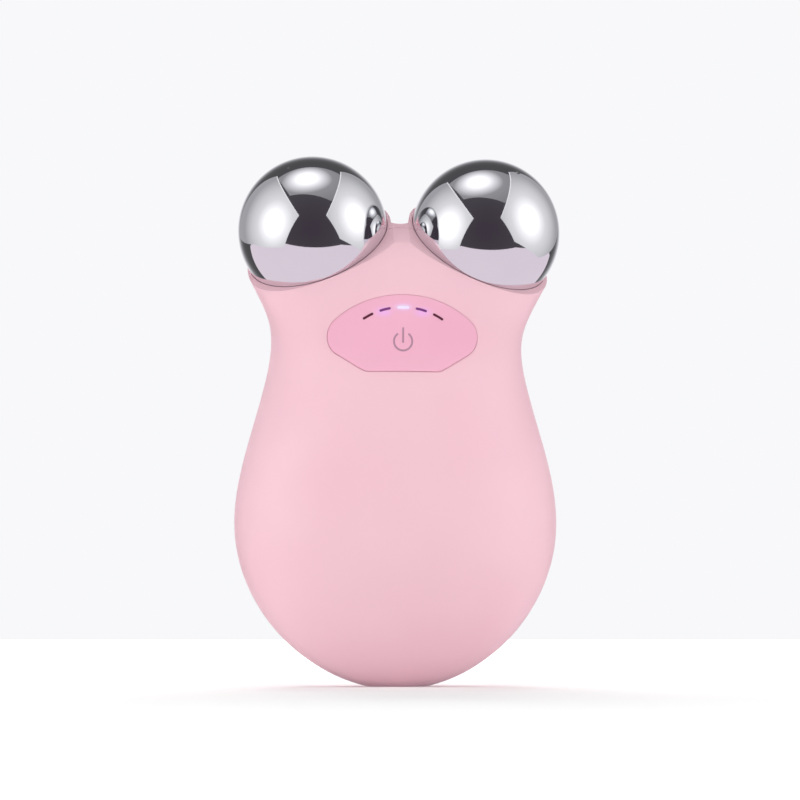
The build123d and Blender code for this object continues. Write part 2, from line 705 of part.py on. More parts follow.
def light_baffle():
    """Dark frame on the board with a well for each light."""
    frame = arc_slot(0, BAFFLE_HALF, BAFFLE_SPAN) - light_slots(WELL_HALF, LIGHT_LENGTH + WELL_SPARE)
    return prism(frame, BAFFLE_FRONT, BOARD_FACE - FIT_GAP)


def indicator_leds():
    lamps = []
    for angle in light_angles():
        x, z = on_arc(angle)
        lamp = Box(LED_LONG, LED_TALL, LED_SHORT)
        lamps.append(Pos(x, BOARD_FACE - LED_TALL / 2 - FIT_GAP, z) * Rot(0, angle, 0) * lamp)
    return lamps


# ---- boards ----------------------------------------------------------------
def main_board():
    low = Pos(0, (BOARD_LOW + BOARD_HIGH) / 2) * RectangleRounded(
        2 * BOARD_HALF, BOARD_HIGH - BOARD_LOW, BOARD_CORNER)
    crown = arc_slot(0, BAFFLE_HALF + CROWN_RIM, BAFFLE_SPAN)
    neck = Pos(0, BOARD_HIGH) * Rectangle(CROWN_NECK, 2 * (LIGHT_TOP - BOARD_HIGH))
    plate = low + crown + neck
    plate -= [Pos(x, z) * Circle(SCREW_RADIUS + SCREW_CLEAR) for x, z in boss_spots()]
    return prism(plate, BOARD_FACE, BOARD_FACE + BOARD_THICK)


def board_back():
    return BOARD_FACE + BOARD_THICK


def board_screws():
    screws = []
    seat = board_back() + FIT_GAP
    top = seat + SCREW_HEAD_TALL
    length, width, depth = SCREW_SLOT
    for x, z in boss_spots():
        shank = rod(x, z, SCREW_RADIUS, BOARD_FACE - SCREW_REACH, seat)
        head = rod(x, z, SCREW_HEAD, seat, top)
        slot = block(x - length / 2, x + length / 2, top - depth, top + OVER,
                     z - width / 2, z + width / 2)
        screws.append(shank + head - slot)
    return screws


def key_switch():
    half = SWITCH_SIDE / 2
    body = block(-half, half, BOARD_FACE - SWITCH_TALL, BOARD_FACE - FIT_GAP,
                 KEY_CENTRE - half, KEY_CENTRE + half)
    body = fillet(body.edges().filter_by(Axis.Y), SWITCH_CORNER)
    floor = BOARD_FACE - SWITCH_TALL + PLUNGER_IN + KEY_TRAVEL + SPARE_TRAVEL
    return body - rod(0, KEY_CENTRE, PLUNGER_RADIUS + PLUNGER_CLEAR, -FAR / 4, floor)


def switch_plunger():
    return rod(0, KEY_CENTRE, PLUNGER_RADIUS, plunger_tip(), BOARD_FACE - SWITCH_TALL + PLUNGER_IN)


def on_board(x, z, shape):
    """A part built on +Z, standing on the back of the main board."""
    return Pos(x, board_back() + FIT_GAP, z) * Rot(-90, 0, 0) * shape


def microcontroller():
    reach = (CHIP[0] + CHIP_LEG[0]) / 2 - CHIP_LEG[0] / 5
    first = -CHIP_PITCH * (CHIP_LEGS - 1) / 2
    legs = [Pos(side * reach, first + CHIP_PITCH * i, 0) * Box(*CHIP_LEG, align=ALIGN_LOW)
            for side in (-1, 1) for i in range(CHIP_LEGS)]
    return on_board(*CHIP_SPOT, Box(*CHIP, align=ALIGN_LOW) + legs)


def boost_coil():
    flange = Cylinder(COIL_RADIUS, COIL_FLANGE, align=ALIGN_LOW)
    core = Cylinder(COIL_CORE, COIL_TALL, align=ALIGN_LOW)
    return on_board(*COIL_SPOT, core + flange + Pos(0, 0, COIL_TALL - COIL_FLANGE) * flange)


def buzzer():
    can = Cylinder(BUZZER_RADIUS, BUZZER_TALL, align=ALIGN_LOW)
    hole = Cylinder(BUZZER_HOLE, BUZZER_TALL, align=ALIGN_LOW)
    return on_board(*BUZZER_SPOT, can - Pos(0, 0, BUZZER_TALL - BUZZER_RECESS) * hole)


def capacitors():
    return [on_board(x, z, Cylinder(CAN_RADIUS, CAN_TALL, align=ALIGN_LOW)) for x, z in CAN_SPOTS]


def battery_socket():
    shell = Box(*BATTERY_SOCKET, align=ALIGN_LOW)
    ways = [Pos(side * LEAD_SPACING / 2, 0, WAY_FLOOR) * Box(*WAY, BATTERY_SOCKET[2], align=ALIGN_LOW)
            for side in (-1, 1)]
    return on_board(0, SOCKET_HEIGHT, shell - ways)


def charge_board():
    plate = Pos(0, (CHARGE_LOW + CHARGE_HIGH) / 2) * RectangleRounded(
        2 * CHARGE_HALF, CHARGE_HIGH - CHARGE_LOW, CHARGE_CORNER)
    return prism(plate, charge_face(), charge_face() + CHARGE_THICK)


def charge_socket():
    """Metal charging socket with its mouth just inside the base."""
    shell = extrude(SlotOverall(2 * PORT_HALF, PORT_TALL - FIT_GAP), amount=PORT_LENGTH)
    throat = SlotOverall(2 * (PORT_HALF - PORT_SHELL), PORT_TALL - FIT_GAP - 2 * PORT_SHELL)
    shell -= extrude(throat, amount=PORT_LENGTH - PORT_BACK)
    shell += Pos(0, 0, TONGUE_SINK) * Box(*TONGUE, PORT_LENGTH - PORT_BACK, align=ALIGN_LOW)
    return Pos(0, PORT_CENTRE - FIT_GAP / 2, PORT_SINK) * shell


# ---- battery and leads -----------------------------------------------------
def battery_cell():
    cell = block(-CELL_HALF, CELL_HALF, CELL_FRONT, CELL_FRONT + CELL_THICK, CELL_LOW, CELL_HIGH)
    return fillet(cell.edges().filter_by(Axis.Z), CELL_CORNER)


def battery_pad():
    near = CELL_FRONT + CELL_THICK + FIT_GAP / 2
    half = CELL_HALF - PAD_MARGIN
    return block(-half, half, near, near + PAD_THICK, CELL_LOW + PAD_MARGIN, CELL_HIGH - PAD_MARGIN)


def battery_lead():
    middle = CELL_FRONT + CELL_THICK / 2
    top = CELL_HIGH + CELL_LEAD_RISE
    end = board_back() + WAY_FLOOR + 3 * FIT_GAP
    points = [(middle, CELL_HIGH + FIT_GAP), (middle, top), (CELL_LEAD_LINE, top),
              (CELL_LEAD_LINE, SOCKET_HEIGHT), (end, SOCKET_HEIGHT)]
    return [tube(points, [CELL_LEAD_BEND] * 3, side * LEAD_SPACING / 2) for side in (-1, 1)]


def charge_lead():
    begin = charge_face() - FIT_GAP
    end = board_back() + FIT_GAP
    near, far = begin - CHARGE_LEAD_OFF[0], end + CHARGE_LEAD_OFF[1]
    points = [(begin, CHARGE_LEAD_LOW), (near, CHARGE_LEAD_LOW), (near, CHARGE_LEAD_RISE[0]),
              (far, CHARGE_LEAD_RISE[1]), (far, CHARGE_LEAD_END), (end, CHARGE_LEAD_END)]
    return [tube(points, CHARGE_LEAD_BENDS, side * CHARGE_LEAD_X) for side in (-1, 1)]


def seam_seal():
    """Soft strip inside the seam on each side, between the base and the cups."""
    strip = ahead_of_seam(SEAL_BAND) - ahead_of_seam(-SEAL_BAND)
    reach = block(REST_OUTER, FAR / 2, -FAR / 2, FAR / 2, 0, WAIST_HEIGHT)
    side = strip & layer(WALL + FIT_GAP, WALL + FIT_GAP + SEAL_THICK)
    return [part for part in both(reach & side).solids()]


# ---- assembly --------------------------------------------------------------
def build():
    walls = shell_walls()
    parts = {
        "front_shell": front_shell(walls),
        "back_shell": back_shell(walls),
        "control_key": control_key(),
        "light_guide": light_guide(),
        "key_retainer": key_retainer(),
        "light_baffle": light_baffle(),
        "indicator_leds": indicator_leds(),
        "main_board": main_board(),
        "board_screws": board_screws(),
        "key_switch": key_switch(),
        "switch_plunger": switch_plunger(),
        "microcontroller": microcontroller(),
        "boost_coil": boost_coil(),
        "buzzer": buzzer(),
        "capacitors": capacitors(),
        "battery_socket": battery_socket(),
        "charge_board": charge_board(),
        "charge_socket": charge_socket(),
        "charge_lead": charge_lead(),
        "battery_cell": battery_cell(),
        "battery_pad": battery_pad(),
        "battery_lead": battery_lead(),
        "seam_seal": seam_seal(),
    }
    for name, make in (("electrode", dome), ("electrode_base", dome_base),
                       ("electrode_seal", electrode_seal), ("terminal", terminal),
                       ("stud_nut", stud_nut), ("electrode_lead", electrode_lead)):
        shape = make()
        parts[f"right_{name}"] = shape
        parts[f"left_{name}"] = left(shape)
    return parts


def main():
    os.makedirs("parts", exist_ok=True)
    for name, shape in build().items():
        solids = shape if isinstance(shape, list) else shape.solids()
        solids = [piece for solid in solids for piece in solid.solids()]
        solids = [Pos(0, STAND_SHIFT, 0) * solid for solid in solids]
        whole = Compound(children=solids) if len(solids) > 1 else solids[0]
        print(name, len(solids), round(sum(s.volume for s in solids), 1))
        export_step(whole, f"parts/{name}.step")


if __name__ == "__main__":
    main()
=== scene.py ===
from math import cos, pi, radians, sin

import bmesh
import bpy
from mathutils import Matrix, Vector
from mathutils.bvhtree import BVHTree


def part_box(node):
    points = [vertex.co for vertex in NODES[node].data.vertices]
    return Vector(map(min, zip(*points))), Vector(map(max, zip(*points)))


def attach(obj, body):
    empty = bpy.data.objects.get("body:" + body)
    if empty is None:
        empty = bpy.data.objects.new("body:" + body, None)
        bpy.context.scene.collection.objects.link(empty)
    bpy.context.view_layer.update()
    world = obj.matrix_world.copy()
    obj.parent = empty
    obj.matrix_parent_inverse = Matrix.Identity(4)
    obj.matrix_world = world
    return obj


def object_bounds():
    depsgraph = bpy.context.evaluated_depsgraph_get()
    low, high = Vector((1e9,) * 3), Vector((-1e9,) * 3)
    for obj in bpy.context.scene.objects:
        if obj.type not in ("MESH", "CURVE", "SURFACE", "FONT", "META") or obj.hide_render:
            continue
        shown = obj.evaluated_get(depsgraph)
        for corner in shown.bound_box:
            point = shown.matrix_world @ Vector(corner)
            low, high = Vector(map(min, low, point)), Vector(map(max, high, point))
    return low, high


# The looks of a facial toning device: a satin pink body with two mirror balls, a deeper pink
# key with a curved row of lights and a printed power mark. Metres, in the frame of the model.

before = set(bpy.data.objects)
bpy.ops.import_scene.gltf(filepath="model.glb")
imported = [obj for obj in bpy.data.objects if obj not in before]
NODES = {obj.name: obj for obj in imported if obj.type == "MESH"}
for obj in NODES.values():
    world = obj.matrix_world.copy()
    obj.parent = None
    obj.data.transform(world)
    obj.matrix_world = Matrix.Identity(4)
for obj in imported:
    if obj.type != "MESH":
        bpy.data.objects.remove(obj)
CAD_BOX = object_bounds()
MM = 0.001

# ---- what the frame says ---------------------------------------------------
LOW, HIGH = CAD_BOX
MIDDLE_HEIGHT = (LOW.z + HIGH.z) / 2
IN_FRONT = LOW.y - 10 * MM
KEY_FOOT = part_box("control_key")[0].z
LIGHTS_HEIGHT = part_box("light_guide")[1].z - 1.25 * MM


def middle(node):
    low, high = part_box(node)
    return (low + high) / 2


BALLS_MIDDLE = (middle("left_electrode") + middle("right_electrode")) / 2


def tree_of(*names):
    """The triangles of some CAD nodes, to measure against."""
    points = []
    faces = []
    for name in names:
        mesh = NODES[name].data
        first = len(points)
        points += [v.co.copy() for v in mesh.vertices]
        faces += [[first + i for i in p.vertices] for p in mesh.polygons]
    return BVHTree.FromPolygons(points, faces)


def front_of(tree, x, z):
    """The y of the foremost surface at this place, or of the part's back where there is none."""
    hit = tree.ray_cast(Vector((x, IN_FRONT, z)), Vector((0, 1, 0)))[0]
    return hit.y if hit else HIGH.y


# ---- camera ----------------------------------------------------------------
CAMERA_TURN = -4.0          # degrees round the object, from straight in front
CAMERA_REACH = 0.430        # from the axis of the object
CAMERA_HEIGHT = 0.010
AIM_HEIGHT = 0.0618
AIM_SIDE = 0.0005
LENS = 89.4
SENSOR = 36.0
CLIP_NEAR = 0.01
CLIP_FAR = 200.0


def add_camera():
    turn = radians(CAMERA_TURN)
    place = Vector((sin(turn) * CAMERA_REACH, -cos(turn) * CAMERA_REACH, CAMERA_HEIGHT))
    data = bpy.data.cameras.new("camera")
    data.lens = LENS
    data.sensor_width = SENSOR
    data.clip_start = CLIP_NEAR
    data.clip_end = CLIP_FAR
    camera = bpy.data.objects.new("camera", data)
    bpy.context.scene.collection.objects.link(camera)
    camera.location = place
    aim = Vector((AIM_SIDE, 0, AIM_HEIGHT)) - place
    camera.rotation_euler = aim.to_track_quat("-Z", "Y").to_euler()
    bpy.context.scene.camera = camera
    bpy.context.view_layer.update()


# ---- nodes -----------------------------------------------------------------
class Value:
    """A socket that can be used in a sum like a number."""

    def __init__(self, nodes, socket):
        self.nodes = nodes
        self.socket = socket

    def maths(self, operation, *others):
        inputs = dict(enumerate((self,) + others))
        return self.nodes.node("ShaderNodeMath", inputs, operation=operation)

    def __add__(self, other):
        return self.maths("ADD", other)

    __radd__ = __add__

    def __mul__(self, other):
        return self.maths("MULTIPLY", other)

    __rmul__ = __mul__

    def __sub__(self, other):
        return self.maths("SUBTRACT", other)

    def __rsub__(self, other):
        return self.nodes.node("ShaderNodeMath", {0: other, 1: self}, operation="SUBTRACT")

    def __abs__(self):
        return self.maths("ABSOLUTE")

    def most(self, other):
        return self.maths("MAXIMUM", other)

    def ramp(self, low, high):
        """0 below low, 1 above high, smooth between."""
        inputs = {0: self, 1: low, 2: high, 3: 0.0, 4: 1.0}
        return self.nodes.node("ShaderNodeMapRange", inputs, interpolation_type="SMOOTHSTEP")


class Nodes:
    """The nodes of one material, or of the world."""

    def __init__(self, tree, output):
        self.tree = tree
        tree.nodes.clear()
        self.output = tree.nodes.new(output)

    def show(self, shader):
        """This shader is what is seen."""
        self.join(self.output.inputs[0], shader)

    def join(self, socket, value):
        if isinstance(value, Value):
            self.tree.links.new(value.socket, socket)
        elif isinstance(value, tuple) and len(value) == 3 and socket.type == "RGBA":
            socket.default_value = value + (1.0,)
        else:
            socket.default_value = value

    def node(self, kind, inputs=None, output=0, stops=None, **settings):
        made = self.tree.nodes.new(kind)
        for name, value in settings.items():
            setattr(made, name, value)
        if stops:
            elements = made.color_ramp.elements
            while len(elements) < len(stops):
                elements.new(0.5)
            for element, (position, colour) in zip(elements, stops):
                element.position = position
                element.color = colour + (1.0,)
        for name, value in (inputs or {}).items():
            self.join(made.inputs[name], value)
        return Value(self, made.outputs[output])

    def seen_directly(self):
        """1 for rays from the camera and for mirrored and clear rays, else 0."""
        path = self.tree.nodes.new("ShaderNodeLightPath")
        rays = [Value(self, path.outputs[f"Is {kind} Ray"])
                for kind in ("Camera", "Glossy", "Transmission")]
        return rays[0].most(rays[1]).most(rays[2])


class Finish(Nodes):
    """One material. Numbers that are the same all over sit on the shader's own sockets."""

    def __init__(self, name, **uniform):
        self.material = bpy.data.materials.new(name)
        self.material.use_nodes = True
        super().__init__(self.material.node_tree, "ShaderNodeOutputMaterial")
        self.shader = self.tree.nodes.new("ShaderNodeBsdfPrincipled")
        self.tree.links.new(self.shader.outputs[0], self.output.inputs[0])
        for socket, value in uniform.items():
            self.set(socket.replace("_", " "), value)

    def set(self, socket, value):
        self.join(self.shader.inputs[socket], value)

    def place(self):
        return self.node("ShaderNodeTexCoord", output="Object")

    def xyz(self):
        """The three coordinates of the point, in metres."""
        made = self.tree.nodes.new("ShaderNodeSeparateXYZ")
        self.join(made.inputs[0], self.place())
        return [Value(self, socket) for socket in made.outputs]

    def noise(self, size, detail=2.0):
        """Noise from 0 to 1 with features of about this size, in metres."""
        inputs = {"Vector": self.place(), "Scale": 1 / size, "Detail": detail}
        return self.node("ShaderNodeTexNoise", inputs)

    def mix(self, factor, first, second):
        inputs = {0: factor, 6: first, 7: second}
        return self.node("ShaderNodeMix", inputs, output=2, data_type="RGBA")

    def relief(self, height, depth):
        """Bump of a height from 0 to 1 that stands for this depth in metres."""
        self.set("Normal", self.node("ShaderNodeBump", {"Height": height, "Distance": depth}))


# ---- colours ---------------------------------------------------------------
def tone(red, green, blue):
    """A colour given as a screen shows it, 0 to 255, in the shader's scale."""
    def open_up(part):
        part /= 255
        return part / 12.92 if part <= 0.04045 else ((part + 0.055) / 1.055) ** 2.4
    return open_up(red), open_up(green), open_up(blue)


BLACK = (0.0, 0.0, 0.0)
WHITE = (1.0, 1.0, 1.0)
SHELL = tone(243, 199, 210)
SHELL_DEEP = tone(241, 195, 207)
KEY = tone(243, 182, 204)
KEY_DEEP = tone(241, 177, 201)
PLATING = tone(238, 238, 240)
PLATING_WIPED = tone(230, 230, 234)
MARK = tone(178, 128, 150)
MARK_FAINT = tone(186, 138, 158)
# Painted light: the key's glow is emission that stands for what the lights shed on it.
SPILL = (0.02, 0.015, 0.24)         # what the violet lights add to the key below them
GLARE = (0.02, 0.28, 0.34)          # what the white light adds to the key round it
# Of each light, its own colour and what it gives off.
LIGHT_WHITE = (tone(202, 192, 216), tone(150, 142, 166))
LIGHT_VIOLET = (tone(122, 56, 114), tone(48, 14, 64))
LIGHT_OFF = (tone(98, 34, 58), BLACK)

# ---- finishes --------------------------------------------------------------
# From the middle of the row of lights outward.
WHITE_TO_VIOLET = (1.6 * MM, 2.4 * MM)
VIOLET_TO_OFF = (5.4 * MM, 6.2 * MM)
# The half width and half height of each painted glow on the key.
HAZE_PATCH = (4.6 * MM, 1.8 * MM)
HAZE_SHARE = 0.4
SPILL_PATCH = (2.8 * MM, 1.7 * MM)
SPILL_ASIDE = 4.1 * MM
SPILL_DOWN = 1.0 * MM
GLARE_PATCH = (2.5 * MM, 1.0 * MM)

DRIFT_SIZE = 22 * MM        # of the slow change of colour in moulded plastic
DRIFT_RANGE = (0.3, 0.7)    # of its noise, from the pale colour to the deep one
PEEL_SIZE = 0.35 * MM       # of its orange peel
PEEL_DEPTH = 0.006 * MM
PEEL_GLOSS = 0.06           # how much the orange peel varies the roughness

PLATING_ROUGHNESS = 0.03
WIPE_SIZE = 9 * MM          # of the wipe marks on the plating
WIPE_GLOSS = 0.02           # what they add to the roughness at most
HAIR_SIZE = 0.5 * MM        # of the finer marks among them
HAIR_GLOSS = 0.01

STOCK_GRAIN = 1.2 * MM
FINE_GRAIN = 0.5 * MM
CLOUD_GRAINS = 6            # the size of a cloud in plain stock, in grains
STOCK_DEPTH = 0.02 * MM
STOCK_GLOSS = 0.15          # how much the grain varies the roughness
STOCK_SHADE = 0.86          # of the darker clouds


def moulded(name, pale, deep, roughness, **uniform):
    """Moulded plastic: a faint drift of colour, fine orange peel, a little uneven gloss."""
    finish = Finish(name, **uniform)
    drift = finish.noise(DRIFT_SIZE, detail=1.0)
    finish.set("Base Color", finish.mix(drift.ramp(*DRIFT_RANGE), pale, deep))
    peel = finish.noise(PEEL_SIZE, detail=3.0)
    finish.set("Roughness", roughness + (peel - 0.5) * PEEL_GLOSS)
    finish.relief(peel, PEEL_DEPTH)
    return finish


def shell_finish():
    finish = moulded("satin_pink_shell", SHELL, SHELL_DEEP, roughness=0.42,
                     Specular_IOR_Level=0.42)
    return finish.material


def glow_patch(across, up, patch):
    """A soft oval, 1 in its middle and 0 at its edge."""
    half_width, half_height = patch
    aside = across * (1 / half_width)
    off = up * (1 / half_height)
    return 1 - (aside * aside + off * off).maths("SQRT").ramp(0.0, 1.0)


def key_finish():
    """The key's pink, with a painted glow of the lights that shine through it: emission that
    stands for their light on the key.
    """
    finish = moulded("satin_pink_key", KEY, KEY_DEEP, roughness=0.38, Specular_IOR_Level=0.45)
    x, _, z = finish.xyz()
    haze = glow_patch(x, z - LIGHTS_HEIGHT, HAZE_PATCH) * HAZE_SHARE
    below = glow_patch(abs(x) - SPILL_ASIDE, z - (LIGHTS_HEIGHT - SPILL_DOWN), SPILL_PATCH)
    glare = glow_patch(x, z - LIGHTS_HEIGHT, GLARE_PATCH)
    spill = finish.mix(haze.most(below), BLACK, SPILL)
    finish.set("Emission Color", finish.mix(glare, spill, GLARE))
    finish.set("Emission Strength", 1.0)
    return finish.material


def chrome_finish():
    """Mirror plating with the faintest wipe marks."""
    finish = Finish("mirror_plating", Metallic=1.0)
    wipe = finish.noise(WIPE_SIZE, detail=4.0)
    hair = finish.noise(HAIR_SIZE)
    finish.set("Base Color", finish.mix(wipe, PLATING, PLATING_WIPED))
    finish.set("Roughness", PLATING_ROUGHNESS + (wipe * WIPE_GLOSS) + (hair * HAIR_GLOSS))
    return finish.material


def light_finish():
    """Milky clear bars: the middle one is lit white, its neighbours violet, the outer two off."""
    finish = Finish("light_bars", Roughness=0.3, Emission_Strength=1.0)
    x, _, _ = finish.xyz()
    aside = abs(x)
    lit = 1 - aside.ramp(*WHITE_TO_VIOLET)
    off = aside.ramp(*VIOLET_TO_OFF)
    for part, socket in enumerate(("Base Color", "Emission Color")):
        on = finish.mix(lit, LIGHT_VIOLET[part], LIGHT_WHITE[part])
        finish.set(socket, finish.mix(off, on, LIGHT_OFF[part]))
    return finish.material


def plain_finish(name, colour, roughness, metallic=0.0, grain=STOCK_GRAIN):
    """A plain stock material with the unevenness of its making."""
    finish = Finish(name, Metallic=metallic)
    cloud = finish.noise(grain * CLOUD_GRAINS)
    speck = finish.noise(grain, detail=3.0)
    darker = tuple(part * STOCK_SHADE for part in colour)
    finish.set("Base Color", finish.mix(cloud, colour, darker))
    finish.set("Roughness", roughness + (speck - 0.5) * STOCK_GLOSS)
    finish.relief(speck, STOCK_DEPTH)
    return finish.material


def dress(names, material):
    for name in names:
        piece = NODES[name]
        piece.data.materials.clear()
        piece.data.materials.append(material)


def sides(*names):
    return [f"{side}_{name}" for name in names for side in ("left", "right")]


def dress_everything():
    dress(["front_shell", "back_shell"], shell_finish())
    dress(["control_key"], key_finish())
    dress(["light_guide"], light_finish())
    dress(sides("electrode", "electrode_base"), chrome_finish())
    dress(sides("terminal", "stud_nut"),
          plain_finish("brass", tone(214, 178, 104), 0.3, metallic=1.0))
    dress(sides("electrode_seal"), plain_finish("pink_silicone", tone(240, 190, 205), 0.5))
    dress(["seam_seal"], plain_finish("grey_silicone", tone(150, 128, 138), 0.6))
    dress(sides("electrode_lead") + ["battery_lead", "charge_lead"],
          plain_finish("lead_jacket", tone(186, 44, 46), 0.45))
    dress(["battery_pad"], plain_finish("foam", tone(70, 70, 74), 0.9, grain=FINE_GRAIN))
    dress(["battery_cell"],
          plain_finish("foil_pouch", tone(186, 188, 192), 0.35, metallic=0.8))
    dress(["main_board", "charge_board"],
          plain_finish("solder_resist", tone(34, 110, 66), 0.35))
    dress(["board_screws", "key_switch", "charge_socket"],
          plain_finish("stamped_steel", tone(176, 176, 180), 0.34, metallic=1.0))
    dress(["capacitors"], plain_finish("drawn_can", tone(198, 198, 202), 0.3, metallic=1.0))
    dress(["key_retainer", "light_baffle", "switch_plunger", "microcontroller", "boost_coil",
           "buzzer"], plain_finish("black_moulding", tone(38, 38, 40), 0.5))
    dress(["battery_socket"], plain_finish("nylon", tone(232, 228, 214), 0.5))
    dress(["indicator_leds"], plain_finish("lamp_package", tone(238, 236, 210), 0.4))


# ---- power mark ------------------------------------------------------------
MARK_HEIGHT = KEY_FOOT + 7.6 * MM
MARK_RADIUS = 1.92 * MM
MARK_STROKE = 0.41 * MM
MARK_OPENING = 35.0         # degrees each side of the top that the ring leaves open
MARK_STEPS = 60
BAR_LOW = -0.3 * MM         # from the ring's middle
BAR_HIGH = 2.9 * MM
BAR_STEPS = 12
MARK_PROUD = 0.012 * MM
PRINT_GRAIN = 0.6 * MM


def add_object(name, mesh, material):
    """A new object made of this mesh."""
    data = bpy.data.meshes.new(name)
    mesh.to_mesh(data)
    mesh.free()
    data.materials.append(material)
    made = bpy.data.objects.new(name, data)
    bpy.context.scene.collection.objects.link(made)
    return made


def strip(mesh, surface, inner, outer):
    """A band of quads between two rows of points (x, z) that lies on a surface."""
    rows = [[mesh.verts.new((x, front_of(surface, x, z) - MARK_PROUD, z)) for x, z in row]
            for row in (inner, outer)]
    for i in range(len(inner) - 1):
        mesh.faces.new((rows[0][i], rows[0][i + 1], rows[1][i + 1], rows[1][i]))


def add_power_mark():
    mesh = bmesh.new()
    key = tree_of("control_key")
    angles = [radians(MARK_OPENING + (360 - 2 * MARK_OPENING) * i / MARK_STEPS)
              for i in range(MARK_STEPS + 1)]
    ring = [[(sin(a) * r, MARK_HEIGHT + cos(a) * r) for a in angles]
            for r in (MARK_RADIUS - MARK_STROKE / 2, MARK_RADIUS + MARK_STROKE / 2)]
    strip(mesh, key, *ring)
    heights = [BAR_LOW + (BAR_HIGH - BAR_LOW) * i / BAR_STEPS for i in range(BAR_STEPS + 1)]
    bar = [[(side * MARK_STROKE / 2, MARK_HEIGHT + h) for h in heights] for side in (1, -1)]
    strip(mesh, key, *bar)
    bmesh.ops.recalc_face_normals(mesh, faces=mesh.faces)
    for face in mesh.faces:
        if face.normal.y > 0:
            face.normal_flip()
    finish = Finish("mark_print", Roughness=0.5)
    finish.set("Base Color", finish.mix(finish.noise(PRINT_GRAIN), MARK, MARK_FAINT))
    mark = add_object("power_mark", mesh, finish.material)
    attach(mark, "key")


# ---- beads in the gaps -----------------------------------------------------
# A soft bead closes the gap round each ball, and the gap round the key.
# The mauve of the beads round the balls is painted shade: it stands for the dark line of the gap.
BALL_RADIUS = 16.2 * MM
CUP_AXIS = Vector((0.353, -0.607, 0.712))       # of the right cup
GAP = 0.15 * MM
BEAD_RADIUS = 0.065 * MM
BEAD_SIDES = 6
HALVINGS = 8                # of the step in which an edge was found

BALL_BEAD_STEPS = 200
BALL_BEAD_SUNK = 0.16 * MM
LIP_SEARCH = (60, 150)      # degrees from the cup's axis
FEELER_LIFT = GAP / 3       # above the ball
FEELER_REACH = GAP * 4

KEY_BEAD_STEPS = 260
KEY_BEAD_SUNK = 0.07 * MM
SEARCH_OUT = 18.0 * MM      # from the power mark, well outside the key
SEARCH_STEP = 0.1 * MM
STEP_DOWN = 0.3 * MM        # a drop in the surface that counts as an edge


def add_bead(name, centres, outward, material):
    """A closed ring of small round section along the centres."""
    count = len(centres)
    mesh = bmesh.new()
    rows = []
    for i, centre in enumerate(centres):
        along = (centres[(i + 1) % count] - centres[i - 1]).normalized()
        across = along.cross(outward[i]).normalized()
        out = across.cross(along)
        rows.append([mesh.verts.new(centre + (out * cos(a) + across * sin(a)) * BEAD_RADIUS)
                     for a in [2 * pi * k / BEAD_SIDES for k in range(BEAD_SIDES)]])
    for i in range(count):
        here, after = rows[i], rows[(i + 1) % count]
        for k in range(BEAD_SIDES):
            beside = (k + 1) % BEAD_SIDES
            mesh.faces.new((here[k], after[k], after[beside], here[beside]))
    bmesh.ops.recalc_face_normals(mesh, faces=mesh.faces)
    ring = add_object(name, mesh, material)
    ring.data.shade_smooth()
    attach(ring, "housing")


def add_cup_bead(side, way, shells, material):
    """Along the lip of one cup: way is -1 on the left and 1 on the right."""
    low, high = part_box(f"{side}_electrode")
    ball_x = low.x + BALL_RADIUS if way < 0 else high.x - BALL_RADIUS
    centre = Vector((ball_x, low.y + BALL_RADIUS, high.z - BALL_RADIUS))
    axis = Vector((way * CUP_AXIS.x, CUP_AXIS.y, CUP_AXIS.z)).normalized()
    across = axis.orthogonal().normalized()
    other = axis.cross(across)

    def outward(spoke, polar):
        return axis * cos(polar) + spoke * sin(polar)

    def covered(spoke, polar):
        out = outward(spoke, polar)
        hit = shells.ray_cast(centre + out * (BALL_RADIUS + FEELER_LIFT), out, FEELER_REACH)
        return hit[0] is not None

    centres = []
    ways_out = []
    for i in range(BALL_BEAD_STEPS):
        turn = 2 * pi * i / BALL_BEAD_STEPS
        spoke = across * cos(turn) + other * sin(turn)
        under = next(p for p in range(*LIP_SEARCH) if covered(spoke, radians(p)))
        bare, lip = radians(under - 1), radians(under)
        for _ in range(HALVINGS):
            half = (bare + lip) / 2
            if covered(spoke, half):
                lip = half
            else:
                bare = half
        out = outward(spoke, lip + BALL_BEAD_SUNK / BALL_RADIUS)
        centres.append(centre + out * (BALL_RADIUS + GAP / 2))
        ways_out.append(out)
    add_bead(f"{side}_cup_gap_shade_bead", centres, ways_out, material)


def add_key_bead(shell, material):
    """Along the edge of the opening that the key fills."""
    def point(turn, reach):
        x, z = cos(turn) * reach, MARK_HEIGHT + sin(turn) * reach
        return Vector((x, front_of(shell, x, z), z))

    rim = []
    for i in range(KEY_BEAD_STEPS):
        turn = 2 * pi * i / KEY_BEAD_STEPS
        reach = SEARCH_OUT
        level = point(turn, reach).y
        while True:
            within = reach - SEARCH_STEP
            ahead = point(turn, within).y
            if ahead - level > STEP_DOWN:
                break
            reach, level = within, ahead
        for _ in range(HALVINGS):
            half = (within + reach) / 2
            if point(turn, half).y - level > STEP_DOWN:
                within = half
            else:
                reach = half
        edge = point(turn, reach)
        edge.y = level
        rim.append(edge)
    centres = []
    for i, edge in enumerate(rim):
        along = rim[(i + 1) % len(rim)] - rim[i - 1]
        inward = Vector((-along.z, 0, along.x)).normalized()
        centres.append(edge + inward * (GAP / 2) + Vector((0, KEY_BEAD_SUNK, 0)))
    add_bead("key_gap_bead", centres, [Vector((0, -1, 0))] * len(centres), material)


def add_beads():
    shells = tree_of("front_shell", "back_shell")
    # Painted shade: this mauve stands for the dark line of the gap round each ball.
    cup = plain_finish("cup_gap_shade_bead", tone(186, 146, 160), 0.6, grain=FINE_GRAIN)
    for side, way in (("left", -1), ("right", 1)):
        add_cup_bead(side, way, shells, cup)
    key = plain_finish("key_bead", tone(240, 180, 200), 0.6, grain=FINE_GRAIN)
    add_key_bead(tree_of("front_shell"), key)


